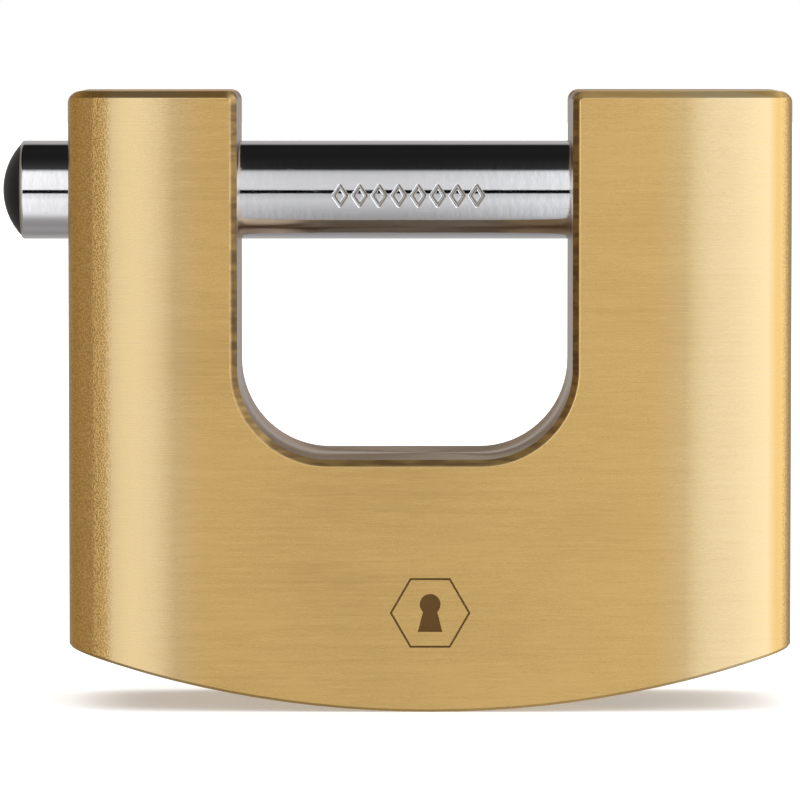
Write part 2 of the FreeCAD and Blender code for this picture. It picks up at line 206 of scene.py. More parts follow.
class PADLOCK_PG_stage(bpy.types.PropertyGroup):
    camera_distance: length("Camera distance", "From the camera to the block's front", 680.0)
    camera_height: angle("Camera height", "Angle of the camera above the horizon", 3.5)
    aim_right: length("Aim right", "How far right of the padlock's middle the camera aims", 0.5)
    aim_up: length("Aim up", "How far above the padlock's middle the camera aims", 0.3)
    lens: FloatProperty(name="Lens", description="Focal length in millimetres", default=277.8, min=10)
    room_light: FloatProperty(
        name="Room", description="Strength of the light all round", default=1.0, min=0)
    floor: colour("Floor", "Colour of the floor", (0.86, 0.86, 0.86))
    floor_reach: length("Floor reach", "Distance from the middle of the floor to its sides", 4000.0)
    floor_glow: share("Floor glow", "Light that the floor gives off by itself", 0.3)
    floor_light: FloatProperty(
        name="Floor light", description="Strength of the light over the floor", default=3.0, min=0)
    floor_light_spread: angle("Floor light spread", "Angle that the light over the floor fills", 100)
    slit_below: angle("Slit", "Angle below the horizon of the dark slit between the front panels", 3.5)


# The room's light round the padlock, as (degrees from straight in front, level, tint), where right is
# positive: a dim left wall, a bright left panel, a dimmer middle, a wide right panel and a dim back.
ROOM_SCALE = 4.0  # keeps every colour of the ramp below 1
ROOM_ACROSS = [(at, tuple(level * c / ROOM_SCALE for c in tint)) for at, level, tint in (
    (-180, 0.58, (1, 0.97, 0.95)), (-135, 0.50, (1, 0.95, 0.9)), (-105, 0.52, (1, 0.82, 0.55)),
    (-62, 0.61, (1, 0.9, 0.74)), (-38, 0.63, (1, 0.91, 0.8)), (-24, 0.60, (1, 0.91, 0.8)),
    (-20.4, 0.12, (1, 0.9, 0.79)), (-18.4, 1.20, (1, 1, 1)), (-15, 1.46, (1, 1, 0.96)),
    (-11, 1.47, (1, 1, 0.96)), (-8, 1.60, (1, 1, 1)), (-5.5, 1.80, (1, 1, 1)), (-3.6, 1.24, (1, 1, 1)),
    (-1, 0.74, (1, 1, 1)), (1, 0.86, (1, 1, 1)), (3, 1.42, (1, 1.01, 1.02)), (5, 1.66, (1, 1.03, 1.06)),
    (8, 1.77, (1, 1.03, 1.06)), (12, 1.86, (1, 1.03, 1.06)), (18, 1.80, (1, 1.03, 1.09)),
    (40, 1.62, (1, 1.03, 1.06)), (75, 1.54, (1, 1.02, 1.04)), (100, 1.66, (1, 1.05, 1.2)),
    (114, 1.02, (1, 1, 1)), (135, 0.55, (1, 0.97, 0.98)), (180, 0.58, (1, 0.97, 0.95)))]
# How much of that light there is at each height above the horizon, as (degrees, share).
ROOM_UPRIGHT = [(at, (level, level, level)) for at, level in (
    (-90, 0.32), (-70, 0.42), (-60, 0.50), (-45, 0.66), (-31, 0.80), (-24, 0.86), (-12, 0.74),
    (-8, 0.72), (0, 0.92), (20, 0.92), (36, 0.84), (43, 0.72), (50, 0.03), (62, 0.02), (90, 0.015))]
# Its colour straight up and down, where the sides meet.
ROOM_POLES = tuple(level / ROOM_SCALE for level in (0.95, 0.92, 0.90))

GROUPS = {
    "padlock_block": PADLOCK_PG_block,
    "padlock_bolt": PADLOCK_PG_bolt,
    "padlock_small": PADLOCK_PG_small,
    "padlock_stage": PADLOCK_PG_stage,
}


# ---- Shader maths -------------------------------------------------------------------------------
def rgba(shade):
    """A colour with the fourth number that Blender's sockets take."""
    return (*tuple(shade)[:3], 1.0)


class Value:
    """One number's socket, with Python's operators."""

    def __init__(self, graph, socket):
        self.graph, self.socket = graph, socket

    def maths(self, operation, *others, clamp=False):
        inputs = [self] + list(others)
        return self.graph.node("ShaderNodeMath", {"operation": operation, "use_clamp": clamp},
                               dict(enumerate(inputs)))

    def __add__(self, other):
        return self.maths("ADD", other)

    __radd__ = __add__

    def __sub__(self, other):
        return self.maths("SUBTRACT", other)

    def __rsub__(self, other):
        return Value.of(self.graph, other).maths("SUBTRACT", self)

    def __mul__(self, other):
        return self.maths("MULTIPLY", other)

    __rmul__ = __mul__

    def __truediv__(self, other):
        return self.maths("DIVIDE", other)

    def __pow__(self, other):
        return self.maths("POWER", other)

    def __neg__(self):
        return self.maths("MULTIPLY", -1.0)

    def __abs__(self):
        return self.maths("ABSOLUTE")

    def over(self, other):
        """The larger of the two."""
        return self.maths("MAXIMUM", other)

    def clamped(self):
        """The value kept between 0 and 1."""
        return self.maths("ADD", 0.0, clamp=True)

    def ramp(self, start, end, low=0.0, high=1.0):
        """Smooth step from low at start to high at end."""
        return self.graph.node(
            "ShaderNodeMapRange", {"interpolation_type": "SMOOTHSTEP", "clamp": True},
            {"Value": self, "From Min": start, "From Max": end, "To Min": low, "To Max": high})

    @staticmethod
    def of(graph, thing):
        """A socket that holds a plain number."""
        if isinstance(thing, Value):
            return thing
        return graph.node("ShaderNodeMath", {"operation": "ADD"}, {0: float(thing), 1: 0.0})


class Graph:
    """A node tree with one method that makes any node."""

    def __init__(self, tree):
        self.tree = tree
        self.object_coordinates = None
        tree.nodes.clear()

    def node(self, kind, settings=None, inputs=None, output=0):
        """A node with its settings and inputs, as one of its outputs or, for None, as the node itself."""
        made = self.tree.nodes.new(kind)
        for key, value in (settings or {}).items():
            if key == "stops":
                self._stops(made.color_ramp, value)
            else:
                setattr(made, key, value)
        for key, value in (inputs or {}).items():
            value = value.socket if isinstance(value, Value) else value
            if isinstance(value, bpy.types.NodeSocket):
                self.tree.links.new(value, made.inputs[key])
            elif value is not None:
                made.inputs[key].default_value = value
        return made if output is None else Value(self, made.outputs[output])

    @staticmethod
    def _stops(ramp, stops):
        while len(ramp.elements) > 1:
            ramp.elements.remove(ramp.elements[-1])
        for place, (at, shade) in enumerate(stops):
            element = ramp.elements[0] if place == 0 else ramp.elements.new(at)
            element.position = at
            element.color = rgba(shade)

    def follow(self, value, stops):
        """The colour that goes with a value, between (value, colour) stops in rising order."""
        low, high = stops[0][0], stops[-1][0]
        shares = [((at - low) / (high - low), shade) for at, shade in stops]
        return self.node("ShaderNodeValToRGB", {"stops": shares}, {"Fac": (value - low) / (high - low)})

    def place(self, centre=(0, 0, 0), scale=(1000, 1000, 1000), turn=(0, 0, 0)):
        """Object coordinates measured from a point, in millimetres unless the scale says otherwise."""
        moved = self.node("ShaderNodeVectorMath", {"operation": "SUBTRACT"},
                          {0: self.coordinates(), 1: Vector(centre)})
        return self.node("ShaderNodeMapping", {"vector_type": "POINT"},
                         {"Vector": moved, "Scale": scale, "Rotation": turn})

    def coordinates(self):
        """Object coordinates, from one node that all the textures share."""
        if self.object_coordinates is None:
            self.object_coordinates = self.node("ShaderNodeTexCoord", output="Object")
        return self.object_coordinates

    def xyz(self, vector):
        parts = self.node("ShaderNodeSeparateXYZ", inputs={0: vector}, output=None)
        return [Value(self, s) for s in parts.outputs]

    def vector(self, x, y, z):
        return self.node("ShaderNodeCombineXYZ", {}, {0: x, 1: y, 2: z})

    def noise(self, vector, detail=2.0, roughness=0.5):
        return self.node("ShaderNodeTexNoise", {"noise_dimensions": "3D"},
                         {"Vector": vector, "Scale": 1.0, "Detail": detail, "Roughness": roughness})

    def blend(self, factor, a, b, how="MIX"):
        """Colour a where the factor is 0 and b, or the two put together, where it is 1."""
        made = self.node("ShaderNodeMix", {"data_type": "RGBA", "blend_type": how}, output=None)
        for socket, value in ((made.inputs[0], factor), (made.inputs[6], a), (made.inputs[7], b)):
            if isinstance(value, Value):
                self.tree.links.new(value.socket, socket)
            elif isinstance(value, (int, float)):
                socket.default_value = value
            else:
                socket.default_value = rgba(value)
        return Value(self, made.outputs[2])

    def bump(self, height, strength, distance, normal=None):
        return self.node("ShaderNodeBump", {}, {"Height": height, "Strength": strength,
                                                "Distance": distance, "Normal": normal})


def new_material(name):
    """An empty material and the graph that its shader is built in."""
    made = bpy.data.materials.new(name)
    made.use_nodes = True
    return made, Graph(made.node_tree)


def surface(graph, **inputs):
    """The Principled shader, whose sockets are named as keywords, and the material's output."""
    names = {key.replace("_", " ").title().replace("Ior", "IOR"): value for key, value in inputs.items()}
    shader = graph.node("ShaderNodeBsdfPrincipled", {}, names)
    graph.node("ShaderNodeOutputMaterial", {}, {"Surface": shader}, output=None)


# ---- Materials ----------------------------------------------------------------------------------
def brushed_brass(scene):
    """Brass linished along its length: fine level lines, sandy upright edges, painted highlights along the
    chamfers' edges and where the front curves away, and painted shade on the gap's chamfer.
    """
    p = scene.padlock_block
    made, g = new_material("brushed_brass")
    x, y, z = g.xyz(g.place())

    # Distances in millimetres from the block's sides, front, top, gap and emblem.
    middle_x = (BLOCK_LOW.x + BLOCK_HIGH.x) / 2 / MM
    half_width = (BLOCK_HIGH.x - BLOCK_LOW.x) / 2 / MM
    half_thick, top = BLOCK_HIGH.y / MM, BLOCK_HIGH.z / MM
    half_gap, corner, floor = p.gap_width / 2 / MM, p.gap_corner / MM, p.gap_floor / MM
    chamfer = p.chamfer / MM
    from_side = half_width - abs(x - middle_x)
    from_front = y + half_thick
    to_face = half_thick - abs(y)
    to_top = top - z
    over_x = (abs(x) - (half_gap - corner)).over(0.0)
    over_z = (floor + corner - z).over(0.0)
    to_gap = (abs(x) - half_gap).over((over_x ** 2.0 + over_z ** 2.0) ** 0.5 - corner)
    emblem_z = floor - p.emblem_below_gap / MM
    from_emblem = ((x - middle_x) ** 2.0 + (z - emblem_z) ** 2.0) ** 0.5

    # Textures: brush lines, sandy grain, slow clouds, cutter marks and pits.
    fine = g.noise(g.place(scale=(240, 240, 7000)), detail=3.0, roughness=0.65)
    long_lines = g.noise(g.place(scale=(60, 60, 3200)), detail=2.0, roughness=0.6)
    top_lines = g.noise(g.place(scale=(240, 7000, 240)), detail=3.0, roughness=0.65)
    lines = fine * 0.6 + long_lines * 0.4
    lines = lines + to_top.ramp(0.06, 0.02) * (top_lines - lines)
    sand = g.noise(g.place(scale=(5600, 5600, 5600)), detail=1.0, roughness=0.6).ramp(0.36, 0.64)
    cloud = g.noise(g.place(scale=(60, 60, 110)), detail=3.0, roughness=0.55)
    chatter = g.noise(g.place(scale=(300, 300, 1300)), detail=1.0, roughness=0.5)
    pits = g.noise(g.place(scale=(1500, 1500, 1500)), detail=2.0).ramp(0.70, 0.78)

    # Places, each 1 inside and 0 outside with a soft limit.
    outer, inner = chamfer + 0.12, chamfer - 0.12
    at_gap = to_gap.ramp(outer, inner)
    on_chamfer = at_gap.over(to_top.ramp(outer, inner))
    grain_reach = x.ramp(-1.0, 1.0, p.grain_left / MM, p.grain_right / MM)
    sandy = (from_side / grain_reach).ramp(1.25, 0.85)
    # Painted highlight: marks the stretch of the front face near each side that curves away.
    highlight_band = from_side.ramp(p.highlight_start / MM, p.highlight_full / MM) * (1.0 - sandy)
    highlight_band = highlight_band * from_front.ramp(1.1, 0.7)
    on_face = to_face.ramp(chamfer + 0.02, chamfer - 0.02)
    # Painted highlight: a thin band of the front face along the edge of each chamfer.
    edge_glint = abs(to_gap - chamfer).ramp(0.22, 0.03).over(abs(to_top - chamfer).ramp(0.22, 0.03)) * on_face
    inside = abs(to_gap).ramp(0.06, 0.02) * to_face.ramp(chamfer, chamfer + 0.04)
    reach = p.emblem_reach / MM
    etched = to_face.ramp(0.06, 0.11) * from_emblem.ramp(reach, reach - 0.3)

    tone = (lines - 0.5) * 0.9 + (cloud - 0.5) * 0.35 + 0.62 + (sand - 0.6) * sandy * 0.6
    shade = g.blend(tone.clamped(), rgba(p.brass_deep), rgba(p.brass))
    # Painted highlight: the brass turns paler where the front curves away.
    shade = g.blend(highlight_band, shade, rgba(p.polish), "MULTIPLY")
    shade = g.blend((1.0 - sand) * sandy * 0.45, shade, rgba(p.grain))
    # Painted shade on the gap's chamfer, broken up by the cutter's chatter marks.
    shade = g.blend(at_gap * chatter.ramp(0.35, 0.65, 0.55, 1.0), shade, rgba(p.milled))
    stained = (cloud - 0.5) * 0.8 + 0.3 + pits * 0.5
    shade = g.blend(inside, shade, g.blend(stained, rgba(p.gap_wall), [c * 0.72 for c in p.gap_wall]))
    # Painted highlight along the chamfers' edges.
    shade = g.blend(edge_glint * 0.12, shade, rgba(p.arris_glint))
    shade = g.blend(etched, shade, rgba(p.etched))

    rough = (p.roughness + (lines - 0.5) * 0.16 + sandy * 0.03 + (cloud - 0.5) * 0.08
             + etched * 0.35 + on_chamfer * 0.18 - inside * 0.04)
    brushed = g.bump(lines, 0.17, 0.04 * MM)
    grained = g.bump(sand * sandy, 0.3, 0.03 * MM, brushed)
    cut = g.bump(chatter * on_chamfer, 0.35, 0.15 * MM, grained)
    surface(g, base_color=shade, metallic=1.0, roughness=rough, anisotropic=p.anisotropy,
            anisotropic_rotation=0.25, normal=cut)
    return made


def chromed_steel(scene):
    """Chrome plate over a ground bar, faintly wavy, with hairline scuffs, and painted shade in the stamped
    lines and the bolt's other recesses.
    """
    p = scene.padlock_bolt
    made, g = new_material("chromed_steel")
    _, y, z = g.xyz(g.place())
    depth = BOLT_RADIUS / MM - (y ** 2.0 + z ** 2.0) ** 0.5
    scuff = g.noise(g.place(scale=(260, 2600, 2600)), detail=3.0, roughness=0.6)
    cloud = g.noise(g.place(scale=(220, 220, 220)), detail=2.0)
    wave = g.noise(g.place(scale=(900, 500, 500)), detail=2.0, roughness=0.6)
    smear = scuff.ramp(0.60, 0.76)
    rough = p.roughness + smear * 0.10 + (cloud - 0.5) * 0.05
    shade = g.blend(smear * 0.5 + cloud * 0.2, rgba(p.chrome), [c * 0.86 for c in p.chrome])
    # Painted shade: darker wherever the surface lies inside the bolt's round outline, as in the stamped
    # lines, the groove and the notch.
    shade = g.blend(depth.ramp(0.01, 0.12) * 0.85, shade, rgba(p.stamped))
    normal = g.bump(scuff * 0.3 + wave * 0.7, 0.15, 0.04 * MM)
    surface(g, base_color=shade, metallic=1.0, roughness=rough, normal=normal)
    return made


def black_nylon(scene):
    """Moulded nylon with a fine grain, rubbed lighter on its dome."""
    p = scene.padlock_small
    made, g = new_material("black_nylon")
    _, y, z = g.xyz(g.place((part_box("bolt_cap")[0].x, 0, 0)))
    grain = g.noise(g.place(scale=(4200, 4200, 4200)), detail=2.0, roughness=0.55)
    scratch = g.noise(g.place(scale=(1200, 900, 6000), turn=(0.6, 0, 0)), detail=2.0, roughness=0.7)
    from_axis = (y ** 2.0 + z ** 2.0) ** 0.5
    rubbed = from_axis.ramp(4.6, 1.0) * scratch.ramp(0.45, 0.70)
    shade = g.blend(rubbed * 0.22 + grain * 0.10, rgba(p.nylon), rgba(p.rubbed))
    rough = 0.36 + (grain - 0.5) * 0.16 + rubbed * 0.14
    normal = g.bump(grain * 0.7 + scratch * 0.3, 0.22, 0.05 * MM)
    surface(g, base_color=shade, metallic=0.0, roughness=rough, specular_ior_level=0.10, normal=normal)
    return made


def turned_metal(name, shade, dullness, axis, centre, roughness, marks=9000):
    """Metal with turning marks: rings round an axis, seen on its ends, and bands along it.

    The marks' floors are the shade times the dullness, and more marks make them finer."""
    made, g = new_material(name)
    x, y, z = g.xyz(g.place(centre))
    along, first, second = (z, x, y) if axis == "Z" else (x, y, z)
    from_axis = (first ** 2.0 + second ** 2.0) ** 0.5
    cloud = g.noise(g.place(scale=(500, 500, 500)), detail=3.0)
    per_mm = marks * MM
    rings = g.noise(g.vector(from_axis * per_mm, along * per_mm, 0.0), detail=2.0, roughness=0.6)
    tone = (rings * 0.6 + cloud * 0.4).ramp(0.25, 0.75)
    colours = g.blend(tone, [c * dullness for c in shade], rgba(shade))
    rough = roughness + (rings - 0.5) * 0.16 + (cloud - 0.5) * 0.10
    normal = g.bump(rings, 0.25, 0.03 * MM)
    surface(g, base_color=colours, metallic=1.0, roughness=rough, normal=normal)
    return made


# ---- Mesh helpers -------------------------------------------------------------------------------
def piece(name, mesh, body, slot, *replaced):
    """Puts a finished mesh in the scene, rides it on its body and hides the nodes it stands for."""
    made = bpy.data.objects.new(name, mesh)
    bpy.context.scene.collection.objects.link(made)
    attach(made, body)
    if replaced:
        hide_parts(*replaced)
    return made


def mesh_from(bm, name):
    """Turns an edit mesh into a named mesh and frees it."""
    mesh = bpy.data.meshes.new(name)
    bm.to_mesh(mesh)
    bm.free()
    return mesh


def finish_mesh(mesh, material, sharp_degrees=28):
    """Smooth shading with sharp edges kept, and one material."""
    mesh.materials.clear()
    mesh.materials.append(material)
    mesh.polygons.foreach_set("use_smooth", [True] * len(mesh.polygons))
    mesh.set_sharp_from_angle(angle=math.radians(sharp_degrees))
    return mesh


def evaluated(holder, name):
    """Plain mesh of an object with its modifiers, under a name of its own; the object is taken away."""
    bpy.context.view_layer.update()
    graph = bpy.context.evaluated_depsgraph_get()
    result = bpy.data.meshes.new_from_object(holder.evaluated_get(graph), depsgraph=graph)
    result.name = name
    bpy.data.objects.remove(holder)
    return result


def merged_copy(node, name):
    """A CAD node's mesh with its doubled points joined, and with the exact normals of its curved faces."""
    source = NODES[node].data
    bm = bmesh.new()
    bm.from_mesh(source)
    bm.faces.ensure_lookup_table()
    kept = bm.loops.layers.float_vector.new("cad_normal")
    corners = source.corner_normals
    for face, polygon in zip(bm.faces, source.polygons):
        for loop, corner in zip(face.loops, polygon.loop_indices):
            loop[kept] = corners[corner].vector
    bmesh.ops.remove_doubles(bm, verts=bm.verts, dist=1e-7)
    return mesh_from(bm, name)


def wall_normal(p, spot):
    """Exact outward direction of the block's upright outer wall at a point, or None off the wall."""
    half = (BLOCK_HIGH - BLOCK_LOW) / 2
    x, y = spot.x - (BLOCK_LOW.x + BLOCK_HIGH.x) / 2, spot.y
    flat = half.x - p.roll_width
    roll_centre = Vector((flat, half.y - p.roll_radius))
    edge_x = half.x - p.edge_radius
    rise = math.sqrt((p.roll_radius - p.edge_radius) ** 2 - (edge_x - flat) ** 2)
    edge_centre = Vector((edge_x, roll_centre.y + rise))
    here = Vector((abs(x), abs(y)))
    join = roll_centre + (edge_centre - roll_centre).normalized() * p.roll_radius
    if here.x <= flat:
        out, off = Vector((0, 1)), here.y - half.y
    elif here.x <= join.x:
        out = here - roll_centre
        off = out.length - p.roll_radius
    elif here.y >= edge_centre.y:
        out = here - edge_centre
        off = out.length - p.edge_radius
    else:
        out, off = Vector((1, 0)), here.x - half.x
    if abs(off) > WALL_MARGIN:
        return None
    out = out.normalized()
    return Vector((math.copysign(out.x, x), math.copysign(out.y, y), 0))


def keep_normals(p, mesh):
    """Puts back the normals that merged_copy kept, and the exact ones on the outer wall."""
    normals = [None] * len(mesh.loops)
    kept = mesh.attributes["cad_normal"]
    least = math.cos(math.radians(WALL_TURN))
    for face in mesh.polygons:
        for loop in face.loop_indices:
            exact = wall_normal(p, mesh.vertices[mesh.loops[loop].vertex_index].co)
            on_wall = exact is not None and exact.dot(face.normal) > least
            normals[loop] = tuple(exact if on_wall else kept.data[loop].vector)
    mesh.normals_split_custom_set(normals)
    mesh.attributes.remove(mesh.attributes["cad_normal"])
    return mesh


def even_turns(count):
    """Evenly spaced angles round a whole turn."""
    return [2 * math.pi * k / count for k in range(count)]


def lathe(profile, turns):
    """Solid of revolution about X from (along, radius) points that start and end on the axis."""
    bm = bmesh.new()
    rings = []
    for at, radius in profile:
        angles = turns if radius > 1e-9 else turns[:1]
        rings.append([bm.verts.new((at, radius * math.cos(a), radius * math.sin(a))) for a in angles])
    segments = len(turns)
    for first, second in zip(rings, rings[1:]):
        for k in range(segments):
            corners = [first[k % len(first)], first[(k + 1) % len(first)],
                       second[(k + 1) % len(second)], second[k % len(second)]]
            unique = list(dict.fromkeys(corners))
            if len(unique) > 2:
                bm.faces.new(unique)
    bmesh.ops.recalc_face_normals(bm, faces=bm.faces)
    return bm


def arc_points(centre_along, centre_radius, radius, start, end, steps):
    """(along, radius) points on an arc, with angles in degrees from the axis's direction."""
    angles = [math.radians(start + (end - start) * k / steps) for k in range(steps + 1)]
    return [(centre_along + radius * math.cos(a), centre_radius + radius * math.sin(a)) for a in angles]


def box_mesh(low, high):
    """Box between two corners."""
    low, high = Vector(low), Vector(high)
    place = Matrix.Translation((low + high) / 2) @ Matrix.Diagonal((*(high - low), 1))
    bm = bmesh.new()
    bmesh.ops.create_cube(bm, size=1, matrix=place)
    return bm


def carve(bm, name, cutters):
    """Cuts each of the cutters out of a solid and returns the plain mesh."""
    holder = bpy.data.objects.new(name, mesh_from(bm, name))
    bpy.context.scene.collection.objects.link(holder)
    tools = []
    for number, cutter in enumerate(cutters):
        tool = bpy.data.objects.new(f"cutter_{number}", mesh_from(cutter, f"cutter_{number}"))
        bpy.context.scene.collection.objects.link(tool)
        modifier = holder.modifiers.new(f"cut_{number}", "BOOLEAN")
        modifier.operation, modifier.solver, modifier.object = "DIFFERENCE", "EXACT", tool
        tools.append(tool)
    result = evaluated(holder, name)
    for tool in tools:
        bpy.data.objects.remove(tool)
    return result


def round_normals(mesh, radius):
    """Exact normals where the bolt is round: straight out from its axis."""
    mesh.update()
    normals = [None] * len(mesh.loops)
    corners = mesh.corner_normals
    for face in mesh.polygons:
        spots = [mesh.vertices[v].co for v in face.vertices]
        level = abs(face.normal.x) < BOLT_SLOPE
        on_round = level and all(abs(math.hypot(s.y, s.z) - radius) < BOLT_MARGIN for s in spots)
        for loop, spot in zip(face.loop_indices, spots):
            out = Vector((0, spot.y, spot.z)).normalized() if on_round else corners[loop].vector
            normals[loop] = tuple(out)
    mesh.normals_split_custom_set(normals)
    return mesh


# ---- Geometry Nodes -----------------------------------------------------------------------------
class Tree(Graph):
    """A Geometry Nodes tree that is built in steps and run once."""

    def __init__(self, name):
        super().__init__(bpy.data.node_groups.new(name, "GeometryNodeTree"))
        for way in ("INPUT", "OUTPUT"):
            self.tree.interface.new_socket("Geometry", in_out=way, socket_type="NodeSocketGeometry")
        self.values = {}
        self.entry = self.tree.nodes.new("NodeGroupInput")

    def size(self, name, value, kind="NodeSocketFloat"):
        """A named input of the tree, with its value."""
        made = self.tree.interface.new_socket(name, in_out="INPUT", socket_type=kind)
        self.values[made.identifier] = value
        return Value(self, self.entry.outputs[name])

    def circle(self, points, radius):
        return self.node("GeometryNodeCurvePrimitiveCircle", {"mode": "RADIUS"}, {
            "Resolution": points, "Radius": radius})

    def line(self, count, start, offset):
        """Points in a row, each one offset from the one before."""
        return self.node("GeometryNodeMeshLine", {"mode": "OFFSET"}, {
            "Count": count, "Start Location": start, "Offset": offset})

    def moved(self, geometry, **inputs):
        """A geometry after a translation, rotation or scale."""
        named = {key.title(): value for key, value in inputs.items()}
        return self.node("GeometryNodeTransform", {}, {"Geometry": geometry, **named})

    def run(self, geometry, material, name, base=None):
        """Ends the tree, evaluates it on a base mesh and returns the plain result."""
        real = self.node("GeometryNodeRealizeInstances", {}, {0: geometry})
        painted = self.node("GeometryNodeSetMaterial", {}, {"Geometry": real, "Material": material})
        self.node("NodeGroupOutput", {}, {0: painted}, output=None)
        holder = bpy.data.objects.new(name, base or bpy.data.meshes.new(name))
        modifier = holder.modifiers.new("nodes", "NODES")
        modifier.node_group = self.tree
        for identifier, value in self.values.items():
            modifier[identifier] = value
        bpy.context.scene.collection.objects.link(holder)
        return evaluated(holder, name)


def stamped(p, bolt_mesh, material):
    """Presses a row of lozenge lines into the bolt's round front."""
    t = Tree("stamped_row")
    count = t.size("Count", p.stamp_count, "NodeSocketInt")
    pitch = t.size("Pitch", p.stamp_pitch)
    line = t.size("Line half width", p.stamp_line)
    depth = t.size("Depth", p.stamp_depth)
    height_scale = t.size("Height over width", p.stamp_height / p.stamp_width)
    half_width = t.size("Half width", (p.stamp_width - 2 * p.stamp_line) / 2)
    radius = t.size("Bolt radius", BOLT_RADIUS)
    drop = t.size("Drop", p.stamp_drop)
    shift = t.size("Shift", p.stamp_shift)
    ring = t.moved(t.circle(4, half_width), scale=t.vector(1.0, height_scale, 1.0))
    ring = t.moved(ring, rotation=(math.pi / 2, 0, 0))
    ring = t.node("GeometryNodeResampleCurve", {}, {"Curve": ring, "Count": 48})
    row = t.line(count, (0, 0, 0), t.vector(pitch, 0.0, 0.0))
    first = (count - 1.0) * pitch * -0.5 + shift
    row = t.node("GeometryNodeSetPosition", {}, {"Geometry": row, "Offset": t.vector(first, 0.0, -drop)})
    rings = t.node("GeometryNodeInstanceOnPoints", {}, {"Points": row, "Instance": ring})
    rings = t.node("GeometryNodeRealizeInstances", {}, {0: rings})
    x, y, z = t.xyz(t.node("GeometryNodeInputPosition"))
    front = -(radius * radius - z * z).maths("SQRT")
    rings = t.node("GeometryNodeSetPosition", {}, {"Geometry": rings, "Position": t.vector(x, front, z)})
    rings = t.node("GeometryNodeCurveToMesh", {}, {"Curve": rings})
    near = t.node("GeometryNodeProximity", {"target_element": "EDGES"}, {0: rings}, output="Distance")
    pressed = near.ramp(line * 0.45, line * 1.35, -depth, 0.0)
    outward = t.node("ShaderNodeVectorMath", {"operation": "NORMALIZE"}, {0: t.vector(0.0, y, z)})
    offset = t.node("ShaderNodeVectorMath", {"operation": "SCALE"}, {0: outward, "Scale": pressed})
    bar = t.entry.outputs["Geometry"]
    result = t.node("GeometryNodeSetPosition", {}, {"Geometry": bar, "Offset": offset})
    return t.run(result, material, "chromed_bolt", bolt_mesh)


def coil(p, reach, coil_radius, material):
    """One pin spring along X, from the origin."""
    t = Tree("coil")
    turns = t.size("Turns", float(p.turns))
    radius = t.size("Coil radius", coil_radius)
    reach = t.size("Length", reach)
    wire = t.size("Wire radius", p.wire / 2)
    path = t.node("GeometryNodeCurveSpiral", {}, {
        "Resolution": 28, "Rotations": turns, "Start Radius": radius, "End Radius": radius, "Height": reach})
    body = t.node("GeometryNodeCurveToMesh", {}, {
        "Curve": path, "Profile Curve": t.circle(10, wire), "Fill Caps": True})
    return t.run(t.moved(body, rotation=(0, math.pi / 2, 0)), material, "coil")


def sealing_row(p, centres, radius, thickness, material):
    """One brass disc, broken at its outer rim, at each of a row of evenly spaced points."""
    t = Tree("sealing_row")
    count = t.size("Count", len(centres), "NodeSocketInt")
    pitch = t.size("Pitch", (centres[-1].z - centres[0].z) / (len(centres) - 1))
    radius = t.size("Radius", radius)
    depth = t.size("Thickness", thickness)
    rim = t.size("Rim", p.plug_rim)
    base = t.node("GeometryNodeMeshCylinder", {}, {"Vertices": 64, "Radius": radius, "Depth": depth - rim})
    crown = t.node("GeometryNodeMeshCone", {}, {
        "Vertices": 64, "Radius Bottom": radius, "Radius Top": radius - rim, "Depth": rim})
    base = t.moved(base, translation=t.vector(0.0, 0.0, rim * -0.5))
    crown = t.moved(crown, translation=t.vector(0.0, 0.0, depth * 0.5 - rim))
    both = t.node("GeometryNodeMeshBoolean", {"operation": "UNION"}, {1: base}, output=None)
    t.tree.links.new(crown.socket, both.inputs[1])
    disc = t.moved(both.outputs[0], rotation=(0, math.pi / 2, 0))
    row = t.line(count, tuple(centres[0]), t.vector(0.0, 0.0, pitch))
    rows = t.node("GeometryNodeInstanceOnPoints", {}, {"Points": row, "Instance": disc})
    return t.run(rows, material, "sealing_row")


def numbered(stem):
    """The CAD nodes of one kind, in order."""
    return sorted(n for n in NODES if n.startswith(stem + "_") and n[len(stem) + 1:].isdigit())


def paint(material, *nodes):
    """Gives CAD nodes a material in place of their plain one."""
    for node in nodes:
        for spot in NODES[node].material_slots:
            spot.material = material


# ---- Operators ----------------------------------------------------------------------------------
class PADLOCK_OT_block(bpy.types.Operator):
    """Make the brass block, with its faces brushed along their length"""

    bl_idname = "padlock.block"
    bl_label = "Brass block"

    def execute(self, context):
        p = context.scene.padlock_block
        mesh = finish_mesh(merged_copy("body", "brass_block"), brushed_brass(context.scene), 24)
        piece("brass_block", keep_normals(p, mesh), "housing", "brushed_brass", "body")
        return {"FINISHED"}


